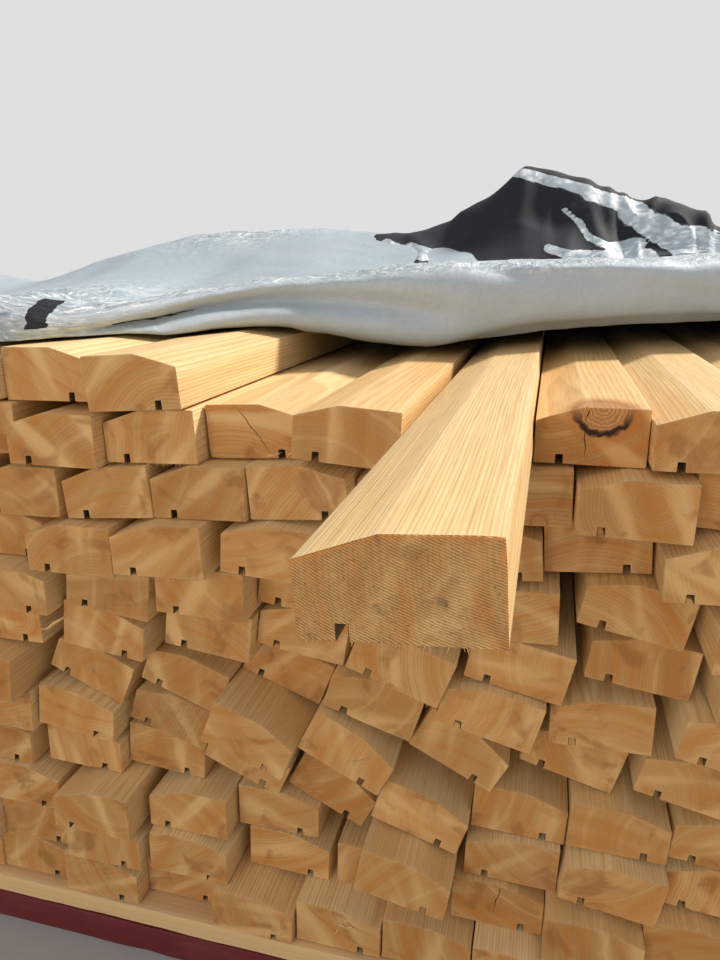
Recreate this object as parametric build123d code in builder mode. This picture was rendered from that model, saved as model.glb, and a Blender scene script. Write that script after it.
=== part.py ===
"""A bundle of bevelled and grooved softwood boards, stacked loose in rows on crosswise bearers.

The boards run along Y with their sawn ends showing at the front (-Y).  They were
stacked by hand, so each row settles on the one below: some boards lie level and some
lean, and one board has been drawn forward out of the top row.  A woven wrap lies over
the top and is thrown back from the front ends in a heap.

The origin is the middle of the underside of the middle bearer rail, +Z is up and
+X is to the right when looking at the front ends.  All sizes are in millimetres.
"""

import os
from math import cos, radians, sin

from build123d import *

# One board: a flat piece with one bevelled top corner and a groove under it
board_width = 70.0
board_thickness = 38.1
board_length = 3658.0
bevel_width = 30.0
bevel_drop = 9.5
groove_width = 3.8
groove_depth = 6.4
groove_inset = 16.2

# Clearances between pieces that rest on each other
seat = 0.3
bearer_seat = 0.3

# Crosswise bearers: a plank on a rail, repeated along the bundle
bearer_count = 5
bearer_overhang = 12.0
end_bearer_reach = 8.0
plank_width = 89.0
plank_thickness = 19.0
rail_width = 89.0
rail_height = 29.0

# How far the drawn-out board stands forward of its row
drawn_out = 240.0

# The wrap: one sheet over the top with short drops at the sides and the back
wrap_thickness = 5.0
wrap_side_drop = 120.0
wrap_back_drop = 95.0
wrap_clearance = 1.0

# The heap of the wrap, seen from the side: its front edge is rolled, and behind the crest
# it falls over a shoulder and a foot to the flat sheet
roll_nose = 16.0
roll_depth = 78.0
roll_least = 9.0
lip_lift = 2.0
heap_shoulder = 110.0
shoulder_share = 0.6
heap_foot = 250.0
foot_share = 0.2
heap_tail = 430.0

bed_height = rail_height + plank_thickness + bearer_seat * 2


# Each row from the bottom up.  "sides" names the bevelled top corner of each board,
# left to right; "start" is how far the row begins from the left edge of the bundle;
# "rolls" are the boards that lean (degrees, positive raises the right side); "gaps"
# are spaces left before a board; "ends" are how far an end sits back from the front;
# "drawn" is the board that has been drawn forward.
bundle_left = -604.0
rows = [
    dict(name="row_01", start=0, sides="RLRRRRRRRRRRRLRLR",
         rolls={},
         gaps={8: 1, 9: 1, 10: 1},
         ends={0: 6, 1: -4, 2: 9, 3: 1, 4: 3, 5: -6, 6: 12, 7: -9, 8: -2, 9: 0, 10: -7, 11: 5, 12: -3,
               13: 11, 14: 2, 15: -8, 16: 4}),
    dict(name="row_02", start=6, sides="LRLRRRRRRRRRRLLR",
         rolls={7: -1, 11: 1},
         gaps={6: 6, 7: 9, 8: 6, 9: 26},
         ends={0: 12, 1: 0, 2: 7, 3: -6, 4: 3, 5: -7, 6: -2, 7: 25, 8: 27, 9: 17, 10: -4, 11: 13, 12: 20,
               13: 6, 14: 15, 15: -2}),
    dict(name="row_03", start=-2, sides="RLLRRLLRRLLLRLRL",
         rolls={8: -10, 9: -1, 10: -8, 11: -4, 12: -3},
         gaps={5: 6, 6: 6, 7: 2, 8: 40, 9: 5},
         ends={0: 5, 1: 14, 2: -3, 3: 8, 4: 0, 5: -16, 6: 6, 7: 26, 8: -17, 9: 22, 10: 8, 11: 28, 12: 12,
               13: 24, 14: 3, 15: 9}),
    dict(name="row_04", start=-28, sides="LLRLRRRRRRRRLRLRR",
         rolls={5: -1, 6: -4, 7: -22, 8: -26, 9: -17, 10: -2, 11: -1, 12: -6},
         gaps={5: 10},
         ends={0: -4, 1: 10, 2: 18, 3: 2, 4: 5, 5: 14, 6: 26, 7: 22, 8: 34, 9: 12, 10: 29, 11: 23, 12: 29,
               13: 14, 14: 22, 15: 7, 16: 16}),
    dict(name="row_05", start=-20, sides="RLLRLRLRRRLLRLLRL",
         rolls={3: 1, 4: -2, 5: -6, 6: -17, 7: -20, 8: -26, 9: -26, 10: -14, 11: -12, 12: -16, 13: -8},
         gaps={6: 5, 9: 6, 10: 6, 11: 4},
         ends={0: 8, 1: -5, 2: 3, 3: 12, 4: 0, 5: 6, 6: 22, 7: -6, 8: 2, 9: 22, 10: 40, 11: 32, 12: 40,
               13: 20, 14: 28, 15: 11, 16: 19}),
    dict(name="row_06", start=-24, sides="LRLLLLLLLLLLRLRLR",
         rolls={3: 2, 4: -5, 5: -23, 6: -20, 7: -20, 8: -16, 9: -13, 10: 2, 11: -9, 12: -6, 13: -3},
         gaps={3: 2, 5: 8, 6: 4, 9: 10, 10: 4, 11: 10},
         ends={0: 2, 1: 9, 2: -7, 3: 4, 4: -18, 5: 18, 6: 22, 7: 46, 8: 10, 9: 8, 10: 24, 11: 5, 12: 17,
               13: 25, 14: 8, 15: 21, 16: 6}),
    dict(name="row_07", start=-6, sides="RLRLRRLLLLLLLRLLR",
         rolls={3: -1, 4: 2, 5: -6, 6: -6, 7: -8, 8: -19, 9: -11, 10: -7, 11: 2, 12: -3},
         gaps={5: 22, 6: 12, 8: 6, 9: 2, 10: 8, 11: 6},
         ends={0: 11, 1: 1, 2: 6, 3: -9, 4: 6, 5: 2, 6: 10, 7: 22, 8: -6, 9: 16, 10: 28, 11: -3, 12: 13,
               13: 4, 14: 18, 15: 9, 16: 2}),
    dict(name="row_08", start=18, sides="LLRLRLLLRLLLRLRRL",
         rolls={3: -2, 5: -6, 7: -6, 8: 3, 9: 3, 10: -10, 11: -2},
         gaps={5: 8, 6: 6, 8: 2, 10: 10, 11: 4},
         ends={0: -3, 1: 7, 2: 12, 3: 0, 4: -14, 5: -2, 6: -6, 7: 18, 8: 5, 9: 15, 10: 22, 11: -15, 12: 9,
               13: 16, 14: 1, 15: 12, 16: 5}),
    dict(name="row_09", start=2, sides="RLLRRLLLLRRLLRLLR",
         rolls={3: -9, 4: 1, 5: 1, 6: 3, 7: -3, 8: 2, 9: 6, 10: 5, 11: 3, 12: 2},
         gaps={3: 2, 4: 2, 5: 4, 6: 2, 7: 8},
         ends={0: 4, 1: -6, 2: 8, 3: 14, 4: 4, 5: -22, 6: -26, 7: -18, 8: 15, 9: 20, 10: 38, 11: 2,
               12: 21, 13: 7, 14: 13, 15: -1, 16: 10}),
    dict(name="row_10", start=-46, sides="LRLLRLLLRLLLRLRLL",
         rolls={3: 3, 4: 5, 5: 2, 6: 6, 7: 3, 8: 5, 9: 10, 10: 3, 12: -2},
         gaps={4: 6, 5: 2, 6: 4},
         ends={0: 9, 1: 3, 2: -5, 3: 6, 4: -8, 5: -10, 6: -10, 7: -10, 8: -6, 9: 15, 10: 20, 11: 2,
               12: 24, 13: 8, 14: 15, 15: 2, 16: 11}),
    dict(name="row_11", start=-6, sides="RLRLLLLRLLLLLRLLR", drawn=9,
         rolls={3: -9, 4: 1, 5: 1, 6: 3, 7: 4, 8: -3, 9: 5, 10: 1, 11: 2, 12: 2},
         gaps={4: 6, 7: 1, 9: 6},
         ends={0: 7, 1: -2, 2: 10, 3: 5, 4: -8, 5: -18, 6: -6, 7: 10, 8: -18, 9: -drawn_out, 10: 30,
               11: 10, 12: 14, 13: 4, 14: 9, 15: -3, 16: 8}),
    dict(name="row_12", start=64, sides="LRRRRR",
         rolls={3: 2, 4: 2, 5: 5},
         gaps={3: 2, 5: 2},
         ends={0: 4, 1: 11, 2: -2, 3: -12, 4: -2, 5: -14}),
]


def board_corners(side, spare=0.0):
    """The board's outline without its groove, grown by spare, for the stacking."""
    half = (board_width + spare) / 2
    low = -spare / 2
    top = board_thickness + spare / 2
    corners = [(-half, low), (half, low), (half, top - bevel_drop), (half - bevel_width, top), (-half, top)]
    if side == "L":
        corners = [(-x, z) for x, z in reversed(corners)]
    return corners


def turned(corners, x, z, roll):
    """The outline rolled about its foot and moved to (x, z)."""
    c, s = cos(radians(roll)), sin(radians(roll))
    return [(x + a * c - b * s, z + a * s + b * c) for a, b in corners]


def height_at(outline, x, upper):
    """The outline's upper or lower edge above station x."""
    heights = []
    for (xa, za), (xb, zb) in zip(outline, outline[1:] + outline[:1]):
        if xa != xb and min(xa, xb) <= x <= max(xa, xb):
            heights.append(za + (zb - za) * (x - xa) / (xb - xa))
    return max(heights) if upper else min(heights)


def gap_below(mover, fixed):
    """How far the mover can drop before it meets the fixed outline, or None if they miss."""
    hair = 1e-7
    low = max(min(x for x, z in mover), min(x for x, z in fixed))
    high = min(max(x for x, z in mover), max(x for x, z in fixed))
    if high - low < 10 * hair:
        return None
    stations = [x for x, z in mover + fixed if low < x < high] + [low + hair, high - hair]
    return min(height_at(mover, x, False) - height_at(fixed, x, True) for x in stations)


def sideways(outline):
    return [(z, x) for x, z in outline]


def room(mover, others):
    """The smallest free drop onto the outlines that lie below the mover."""
    touching = 0.001
    gaps = [gap_below(mover, other) for other in others]
    return min([gap for gap in gaps if gap is not None and gap > -touching], default=float("inf"))


def lay_board(side, roll, reach, gap, neighbour, laid):
    """Drop a board beside its neighbour, then let it slide down and left until it rests."""
    corners = board_corners(side, seat)
    flat = turned(corners, 0, 0, roll)
    on_bed = bed_height - min(z for x, z in flat)
    x = reach + gap - min(x for x, z in flat)
    nearby = 3 * board_width
    near = [other for other in laid if min(abs(px - x) for px, pz in other) < nearby]
    above_all = max([pz for other in near for px, pz in other], default=bed_height) + nearby
    z = max(on_bed, above_all - room(turned(corners, x, above_all, roll), near))
    if neighbour is None:
        return x, z
    spaced = [(px + gap, pz) for px, pz in neighbour]
    near = [other for other in near if other is not neighbour] + [spaced]
    slide, steps, still = board_width / 2, 40, 0.005
    for _ in range(steps):
        fall = max(0.0, min(room(turned(corners, x, z, roll), near), z - on_bed))
        z -= fall
        beside = room(sideways(turned(corners, x, z, roll)), [sideways(other) for other in near])
        shift = max(0.0, min(beside, slide))
        x -= shift
        slide -= shift
        if fall < still and shift < still:
            break
    return x, z


def stack(rows):
    """Settle every row in turn: a list, for each row, of (side, roll, x, z, setback)."""
    laid, bundle = [], []
    for row in rows:
        reach, neighbour, boards = bundle_left + row["start"], None, []
        for place, side in enumerate(row["sides"]):
            roll = row["rolls"].get(place, 0.0)
            x, z = lay_board(side, roll, reach, row["gaps"].get(place, 0.0), neighbour, laid)
            neighbour = turned(board_corners(side, seat), x, z, roll)
            laid.append(neighbour)
            reach = max(px for px, pz in neighbour)
            boards.append((side, roll, x, z, row["ends"].get(place, 0.0)))
        bundle.append(boards)
    return bundle, laid


def board_section(side, roll, x, z, setback):
    """Sketch one board's end at the back of the bundle, ready to extrude forward."""
    mirror = -1 if side == "L" else 1
    half = board_width / 2
    groove = half - groove_inset
    place = Plane(
        origin=(x, board_length / 2 + setback, z),
        x_dir=(cos(radians(roll)), 0, sin(radians(roll))),
        z_dir=(0, -1, 0),
    )
    points = [
        (-half, 0),
        (groove - groove_width / 2, 0),
        (groove - groove_width / 2, groove_depth),
        (groove + groove_width / 2, groove_depth),
        (groove + groove_width / 2, 0),
        (half, 0),
        (half, board_thickness - bevel_drop),
        (half - bevel_width, board_thickness),
        (-half, board_thickness),
    ]
    with BuildSketch(place) as board_end:
        with BuildLine():
            Polyline([(px * mirror, pz) for px, pz in points], close=True)
        make_face()
    return board_end.sketch


os.makedirs("parts", exist_ok=True)
towards_front = (0, -1, 0)
bundle, outlines = stack(rows)

# The boards, one node for each row, and the drawn-out board in a node of its own
for row, boards in zip(rows, bundle):
    with BuildPart() as row_part:
        for place, board in enumerate(boards):
            if place != row.get("drawn"):
                add(board_section(*board))
        extrude(amount=board_length, dir=towards_front)
    row_part.part.label = row["name"] + "_boards"
    export_step(row_part.part, "parts/" + row["name"] + "_boards.step")
    if "drawn" in row:
        with BuildPart() as drawn_board:
            add(board_section(*boards[row["drawn"]]))
            extrude(amount=board_length, dir=towards_front)
        drawn_board.part.label = "drawn_out_board"
        export_step(drawn_board.part, "parts/drawn_out_board.step")

# The bearers, evenly spaced from the front ends to the back ends
bottom_row = [point for outline in outlines[:len(rows[0]["sides"])] for point in outline]
bed_left = min(x for x, z in bottom_row) - bearer_overhang
bed_right = max(x for x, z in bottom_row) + bearer_overhang
bed_middle = (bed_left + bed_right) / 2
bearer_pitch = (board_length + 2 * end_bearer_reach - plank_width) / (bearer_count - 1)
bearer_places = [(bed_middle, (i - (bearer_count - 1) / 2) * bearer_pitch) for i in range(bearer_count)]

with BuildPart() as rails:
    with BuildSketch():
        with Locations(*bearer_places):
            Rectangle(bed_right - bed_left, rail_width)
    extrude(amount=rail_height)
rails.part.label = "bearer_rails"
export_step(rails.part, "parts/bearer_rails.step")

with BuildPart() as planks:
    with BuildSketch(Plane.XY.offset(rail_height + bearer_seat)):
        with Locations(*bearer_places):
            Rectangle(bed_right - bed_left, plank_width)
    extrude(amount=plank_thickness)
planks.part.label = "bearer_planks"
export_step(planks.part, "parts/bearer_planks.step")

# The wrap: ribs across the bundle from left to right, each a side view of the sheet from
# its rolled front edge, over the heap and back along the top.  "lip" and "crest" are set
# back from the front; the heights of the roll's underside and top and of the crest are
# above the boards at the middle of the bundle.
wrap_ribs = [
    dict(lip=90, under=-4, roll=8, crest=410, height=41),
    dict(lip=96, under=0, roll=12, crest=420, height=47),
    dict(lip=116, under=1, roll=13, crest=430, height=46),
    dict(lip=145, under=1, roll=13, crest=440, height=77),
    dict(lip=164, under=7, roll=18, crest=464, height=107),
    dict(lip=182, under=13, roll=30, crest=483, height=114),
    dict(lip=203, under=9, roll=44, crest=495, height=114),
    dict(lip=232, under=1, roll=52, crest=500, height=110),
    dict(lip=252, under=0, roll=62, crest=502, height=125),
    dict(lip=292, under=11, roll=72, crest=505, height=180),
    dict(lip=327, under=19, roll=75, crest=508, height=163),
    dict(lip=364, under=23, roll=80, crest=512, height=146),
    dict(lip=391, under=25, roll=79, crest=517, height=103),
    dict(lip=395, under=20, roll=67, crest=520, height=89),
    dict(lip=391, under=13, roll=50, crest=519, height=78),
    dict(lip=380, under=4, roll=30, crest=514, height=62),
    dict(lip=360, under=-4, roll=14, crest=505, height=41),
]

wrap_left = min(x for outline in outlines for x, z in outline) - wrap_clearance
wrap_right = max(x for outline in outlines for x, z in outline) + wrap_clearance
rib_pitch = (wrap_right - wrap_left) / (len(wrap_ribs) - 1)
wrap_back = board_length / 2 + max(max(row["ends"].values()) for row in rows) + wrap_clearance


def top_of_boards(x):
    """The highest board within a rib's reach of station x, with the seat clearance."""
    return max(pz for outline in outlines for px, pz in outline if abs(px - x) <= rib_pitch) + seat


def rib_points(rib, base, deck):
    """Side view of the wrap at one rib, over boards that reach up to base."""
    lip, crest = rib["lip"] - board_length / 2, rib["crest"] - board_length / 2
    under = max(deck + rib["under"], base + lip_lift)
    roll = max(deck + rib["roll"], under + roll_least)
    peak = max(deck + rib["height"], base + roll_least)
    fall = peak - base - wrap_thickness
    return [
        (lip, (under + roll) / 2),
        (lip + roll_nose, under),
        (crest, base),
        (wrap_back, base),
        (wrap_back, base - wrap_back_drop),
        (wrap_back + wrap_thickness, base - wrap_back_drop),
        (wrap_back + wrap_thickness, base + wrap_thickness),
        (crest + heap_tail, base + wrap_thickness),
        (crest + heap_foot, base + wrap_thickness + foot_share * fall),
        (crest + heap_shoulder, base + wrap_thickness + shoulder_share * fall),
        (crest, peak),
        (lip + roll_depth, roll),
        (lip + roll_nose, roll),
    ]


with BuildPart() as wrap:
    deck = top_of_boards(0.0)
    for i, rib in enumerate(wrap_ribs):
        x = wrap_left + i * rib_pitch
        with BuildSketch(Plane.YZ.offset(x)):
            with BuildLine():
                Polyline(rib_points(rib, top_of_boards(x), deck), close=True)
            make_face()
    loft(ruled=True)
    for x, rib, outwards in ((wrap_left, wrap_ribs[0], -1), (wrap_right, wrap_ribs[-1], 1)):
        skirt_front, skirt_back = rib["crest"] - board_length / 2, wrap_back + wrap_thickness
        skirt_top = top_of_boards(x) + wrap_thickness
        skirt_height = wrap_side_drop + wrap_thickness
        with BuildSketch(Plane.YZ.offset(x)):
            with Locations(((skirt_front + skirt_back) / 2, skirt_top - skirt_height / 2)):
                Rectangle(skirt_back - skirt_front, skirt_height)
        extrude(amount=outwards * wrap_thickness)
wrap.part.label = "wrap"
export_step(wrap.part, "parts/wrap.step")
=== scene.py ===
"""The finish of the lumber bundle: planed boards, plain bearers on red rails, and a woven wrap.

Every board keeps the section and the place of its solid. It gets eased edges, its own piece of a log for
the grain and the growth rings, and at its front end cracks, knots and torn fibres. Lengths are in metres.
"""
import itertools
import math

import bmesh
import bpy
import numpy as np
from mathutils import Matrix, Vector
from mathutils.geometry import delaunay_2d_cdt


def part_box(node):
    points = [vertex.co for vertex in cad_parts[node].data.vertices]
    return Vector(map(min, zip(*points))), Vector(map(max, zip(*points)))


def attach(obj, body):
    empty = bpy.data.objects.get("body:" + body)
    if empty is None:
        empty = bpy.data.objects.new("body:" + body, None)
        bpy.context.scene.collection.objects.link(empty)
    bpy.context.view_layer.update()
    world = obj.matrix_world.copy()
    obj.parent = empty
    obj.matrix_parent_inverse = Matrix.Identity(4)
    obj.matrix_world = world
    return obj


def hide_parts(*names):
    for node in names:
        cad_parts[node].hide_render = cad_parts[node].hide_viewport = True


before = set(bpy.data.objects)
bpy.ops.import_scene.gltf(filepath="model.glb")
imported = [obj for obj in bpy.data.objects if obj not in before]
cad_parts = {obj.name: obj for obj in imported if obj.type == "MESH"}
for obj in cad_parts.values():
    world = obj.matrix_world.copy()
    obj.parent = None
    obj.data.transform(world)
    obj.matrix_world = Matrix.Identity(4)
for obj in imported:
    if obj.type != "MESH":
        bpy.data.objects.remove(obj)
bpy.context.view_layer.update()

mm = 0.001
turn = 2 * math.pi
body = "root"
weld = 0.01 * mm

# The boards' edges, the meshes over their ends, and how far their faces wander
eased_radius = 0.9 * mm
eased_steps = 3
outline_spacing = 7 * mm
cut_inset = 0.45 * mm
end_grid = 3.2 * mm
fine_end_grid = 1.1 * mm
end_stations = [0, 0.5 * mm, 1.6 * mm, 4 * mm, 9 * mm, 18 * mm, 36 * mm, 72 * mm, 150 * mm, 320 * mm]
long_spans = 6
surface_wobble = 0.22 * mm
chip_depth = 0.9 * mm
end_wobble = 0.25 * mm
board_seed, bearer_seed = 1000, 77
bearer_radius, bearer_chip_depth, bearer_inset = 2.2 * mm, 3.5 * mm, 1.2 * mm

# Random heights on a cube of points, for soft_noise
lattice_cells = 32
lattice = np.random.default_rng(11).random((lattice_cells,) * 3) * 2 - 1


def soft_noise(points, size, seed=0.0):
    """Smooth noise from -1 to 1 with bumps about size across, at points of shape (n, 3)."""
    scaled = np.asarray(points, float) / size + seed * 17.31
    cell = np.floor(scaled).astype(int)
    part = scaled - cell
    part = part * part * (3 - 2 * part)
    total = np.zeros(len(scaled))
    for corner in itertools.product((0, 1), repeat=3):
        weight = np.prod(np.where(corner, part, 1 - part), axis=1)
        i, j, k = ((cell + np.array(corner)) % lattice_cells).T
        total += weight * lattice[i, j, k]
    return total


def add_object(name, data):
    made = bpy.data.objects.new(name, data)
    bpy.context.scene.collection.objects.link(made)
    return made


def paint(code):
    """A hex colour as linear RGBA."""
    parts = [int(code[i:i + 2], 16) / 255 for i in (0, 2, 4)]
    return [c / 12.92 if c <= 0.04045 else ((c + 0.055) / 1.055) ** 2.4 for c in parts] + [1.0]


class Shader:
    """A material's nodes, added one call at a time."""

    def __init__(self, name):
        self.material = bpy.data.materials.new(name)
        self.material.use_nodes = True
        self.tree = self.material.node_tree
        self.surface = self.tree.nodes["Principled BSDF"]

    def set(self, socket, value):
        """Fills a socket from another node's output, a hex colour or a plain value."""
        if isinstance(value, bpy.types.NodeSocket):
            self.tree.links.new(value, socket)
        elif value is not None:
            socket.default_value = paint(value) if isinstance(value, str) else value

    def node(self, kind, *values, out=0, **settings):
        """Lower-case settings are the node's own, and capitalised ones name its sockets."""
        made = self.tree.nodes.new("ShaderNode" + kind)
        for key in (key for key in settings if key[0].islower()):
            setattr(made, key, settings[key])
        for socket, value in zip(made.inputs, values):
            self.set(socket, value)
        for key in (key for key in settings if key[0].isupper()):
            self.set(made.inputs[key], settings[key])
        return made.outputs[out]

    def math(self, operation, *values):
        return self.node("Math", *values, operation=operation)

    def vector(self, operation, *values, out=0):
        return self.node("VectorMath", *values, operation=operation, out=out)

    def times(self, a, b):
        return self.math("MULTIPLY", a, b)

    def plus(self, a, b):
        return self.math("ADD", a, b)

    def minus(self, a, b):
        return self.math("SUBTRACT", a, b)

    def stretch(self, vector, factors):
        return self.vector("MULTIPLY", vector, factors)

    def attribute(self, name, out="Vector"):
        made = self.tree.nodes.new("ShaderNodeAttribute")
        made.attribute_name = name
        return made.outputs[out]

    def parts(self, vector):
        made = self.tree.nodes.new("ShaderNodeSeparateXYZ")
        self.set(made.inputs[0], vector)
        return made.outputs

    def join(self, x, y, z):
        return self.node("CombineXYZ", x, y, z)

    def noise(self, vector, scale, detail=2.0, rough=0.5, warp=0.0):
        return self.node("TexNoise", Vector=vector, Scale=scale, Detail=detail, Roughness=rough,
                         Distortion=warp)

    def noise_1d(self, value, scale, detail=1.0):
        return self.node("TexNoise", noise_dimensions="1D", W=value, Scale=scale, Detail=detail)

    def step(self, value, low, high, to_low=0.0, to_high=1.0):
        return self.node("MapRange", value, low, high, to_low, to_high, interpolation_type="SMOOTHSTEP")

    def mix(self, share, first, second, blend="MIX"):
        made = self.tree.nodes.new("ShaderNodeMix")
        made.data_type = "RGBA"
        made.blend_type = blend
        for index, value in ((0, share), (6, first), (7, second)):
            self.set(made.inputs[index], value)
        return made.outputs[2]

    def over(self, colour, value, low, high, share, code):
        """A colour with another laid over it, from none at a low value to that share at a high one."""
        return self.mix(self.step(value, low, high, 0.0, share), colour, code)

    def bump(self, height, distance, strength=1.0, normal=None):
        return self.node("Bump", Height=height, Distance=distance, Strength=strength, Normal=normal)

    def finish(self, colour, normal=None, rough=0.6, **fixed):
        self.set(self.surface.inputs["Base Color"], colour)
        self.set(self.surface.inputs["Roughness"], rough)
        self.set(self.surface.inputs["Normal"], normal)
        for key, value in fixed.items():
            self.surface.inputs[key.replace("_", " ")].default_value = value
        return self.material


# A year's growth on the coolest and the warmest boards
ring_pitches = 1.5 * mm, 3.4 * mm
# The saw's centre, across and upward from the middle of a board's underside, and how close its lines are
saw_centre, saw_pitch = (-101 * mm, 226 * mm, 0.0), 0.98 * mm
tape_pitch = 2.2 * mm
lining_colours = "1b2028", "303842"


def ring_pattern(s, log, pitch):
    """Growth rings of a log whose pith is the local Z axis: (thin late-wood line, slow colour bands)."""
    stretched = s.stretch(log, (1, 1, 0.16))
    noise = s.node("TexNoise", out=1, Vector=stretched, Scale=14.0, Detail=3.0)
    drift = s.vector("SUBTRACT", noise, (0.5,) * 3)
    bent = s.vector("ADD", log, s.vector("SCALE", drift, None, None, 0.013))
    x, y, _ = s.parts(bent)
    radius = s.vector("LENGTH", s.join(x, y, 0.0), out=1)
    uneven = s.plus(radius, s.times(s.noise_1d(radius, 260.0), 0.0022))
    phase = s.math("FRACT", s.math("DIVIDE", uneven, pitch))
    late = s.times(s.step(phase, 0.30, 0.86), s.step(phase, 1.0, 0.93))
    return late, s.noise_1d(radius, 75.0, 2.0)


def planed_colour(s, log, shifted, light, warm, late):
    """A planed side, and its fine streaks."""
    early_wood = s.mix(light, "e3bb7f", "f2d7a3")
    late_wood = s.mix(warm, "d0a061", "be8648")
    streaks = s.noise(s.stretch(log, (1.0, 1.0, 0.03)), 620.0, 3.0)
    planed = s.mix(s.times(late, 0.42), early_wood, late_wood)
    planed = s.over(planed, streaks, 0.44, 0.7, 0.28, "b5813f")
    stain = s.noise(s.stretch(shifted, (1.0, 1.0, 0.12)), 24.0, 3.0)
    return s.over(planed, stain, 0.5, 0.74, 0.36, "d39b56"), streaks


def sawn_colour(s, shifted, light, warm, late, bands):
    """A sawn end, with rings, broad bands, light and dark sweeps and patches, and its fine grain."""
    early_wood = s.mix(light, "b4854c", "cc9c60")
    late_wood = s.mix(warm, "a66d33", "965a22")
    cut = s.mix(s.times(late, 0.3), early_wood, late_wood)
    band = s.step(bands, 0.47, 0.68, 0.0, 0.62)
    cut = s.mix(band, cut, s.mix(warm, "b87a3a", "bf701f"))
    cut = s.over(cut, bands, 0.44, 0.28, 0.45, "d6a86d")
    turned = s.node("VectorRotate", rotation_type="Z_AXIS", Vector=shifted, Angle=s.times(warm, 4.0))
    sweeps = s.noise(s.stretch(turned, (0.2, 1.0, 0.5)), 56.0, 1.5, 0.4, 0.15)
    cut = s.over(cut, sweeps, 0.5, 0.7, 0.66, "dfb478")
    dark_sweep = s.step(sweeps, 0.5, 0.3, 0.0, 0.5)
    cut = s.mix(dark_sweep, cut, s.mix(light, "a56a2c", "bd7a32"))
    patches = s.noise(shifted, 30.0, 3.0, 0.55, 0.6)
    cut = s.over(cut, patches, 0.54, 0.68, 0.6, "935c28")
    grainy = s.noise(shifted, 1300.0, 2.0)
    return s.over(cut, grainy, 0.5, 0.72, 0.16, "82531f"), grainy


def with_saw_lines(s, cut, place, shifted, sawn):
    """The saw's fine lines, as wide arcs about a centre off the board, with pits and smudges."""
    arc = s.vector("DISTANCE", s.join(place[0], place[1], 0.0), saw_centre, out=1)
    ragged = s.times(s.noise(shifted, 75.0, 5.0, 0.65), 0.0019)
    strokes = s.math("SINE", s.times(s.plus(arc, ragged), turn / saw_pitch))
    strokes = s.times(strokes, s.times(s.noise(shifted, 260.0, 3.0), sawn))
    cut = s.over(cut, strokes, 0.05, -0.6, 0.6, "744a22")
    cut = s.over(cut, strokes, 0.1, 0.6, 0.3, "dcb27c")
    pits = s.times(s.step(s.noise(shifted, 800.0, 1.0), 0.63, 0.76, 0.0, 0.5), sawn)
    cut = s.mix(pits, cut, "5f3d1c")
    smudge = s.times(s.step(s.noise(shifted, 70.0, 3.0), 0.6, 0.72, 0.0, 0.75), s.step(sawn, 0.85, 1.0))
    return s.mix(smudge, cut, "4d3a26"), strokes


def with_knot(s, colour, place, shifted):
    """A warm halo, a ringed heart and a dark rim, darkest below."""
    knot_u, knot_w, knot_size = s.parts(s.attribute("knot"))
    reach = s.join(s.minus(place[0], knot_u), s.minus(place[1], knot_w), s.times(place[2], 0.7))
    away = s.math("DIVIDE", s.vector("LENGTH", reach, out=1), s.math("MAXIMUM", knot_size, 0.0001))
    away = s.plus(away, s.times(s.minus(s.noise(shifted, 180.0, 3.0), 0.5), 0.34))
    rings = s.step(s.math("FRACT", s.times(away, 6.5)), 0.2, 0.9, 0.1, 0.6)
    heart = s.mix(rings, "c88f56", "7d4a22")
    colour = s.over(colour, away, 1.75, 1.0, 0.75, "b06a2c")
    colour = s.mix(s.step(away, 1.02, 0.93), colour, heart)
    rim = s.times(s.step(away, 1.16, 1.02), s.step(away, 0.76, 0.94))
    under = s.step(s.minus(place[1], knot_w), 0.0, -0.012, 0.2, 1.0)
    return s.mix(s.times(rim, under), colour, "2e170b")


def board_wood():
    """Pale planed softwood with darker, sawn end grain.

    The attributes: grain is a place in the log, local a place in the board (across, upward, and from the
    nearer end, with a metre more at the back), tone how light, how warm and how strongly saw-marked the
    board is, wear near 1 on torn fibres and on the top rim of the drawn-out end, where it paints a sunlit
    orange glow, below 0 in the groove, where it paints shade, and knot a knot's middle and size.
    """
    s = Shader("board_wood")
    log, local = s.attribute("grain"), s.attribute("local")
    light, warm, sawn = s.parts(s.attribute("tone"))
    wear = s.attribute("wear", "Fac")
    place = s.parts(local)
    shifted = s.vector("ADD", local, s.join(s.times(light, 9.0), s.times(warm, 7.0), 0.0))
    facing = s.math("ABSOLUTE", s.parts(s.node("NewGeometry", out=1))[1])
    end = s.step(facing, 0.35, 0.6)
    pitch = s.node("MapRange", warm, 0.0, 1.0, *ring_pitches)
    late, bands = ring_pattern(s, log, pitch)

    planed, streaks = planed_colour(s, log, shifted, light, warm, late)
    cut, grainy = sawn_colour(s, shifted, light, warm, late, bands)
    cut, strokes = with_saw_lines(s, cut, place, shifted, sawn)
    colour = with_knot(s, s.mix(end, planed, cut), place, shifted)

    # Torn fibres and worn edges, a painted sunlit glow on the drawn-out end's top rim, and painted shade
    # in the groove
    torn = s.times(wear, s.step(s.noise(shifted, 300.0), 0.35, 0.62, 0.25, 0.85))
    # On the most saw-marked ends the torn colour is orange, a painted sunlit glow along the top rim
    torn_end_and_glow = s.mix(s.step(sawn, 0.8, 0.95), "e3b87c", "dd8434")
    colour = s.mix(torn, colour, s.mix(end, "f6e4bf", torn_end_and_glow))
    # Painted shade in the groove, where the value is below 0
    colour = s.over(colour, wear, -0.05, -0.8, 0.85, "2f1b0e")

    along = s.plus(s.times(late, 0.35), s.times(streaks, 0.8))
    across = s.plus(s.times(strokes, 0.9), s.times(grainy, 0.7))
    height = s.plus(along, s.times(s.minus(across, along), end))
    normal = s.bump(height, 0.00035, 0.75)
    return s.finish(colour, normal, s.step(end, 0.0, 1.0, 0.52, 0.74), Specular_IOR_Level=0.35)


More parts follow.
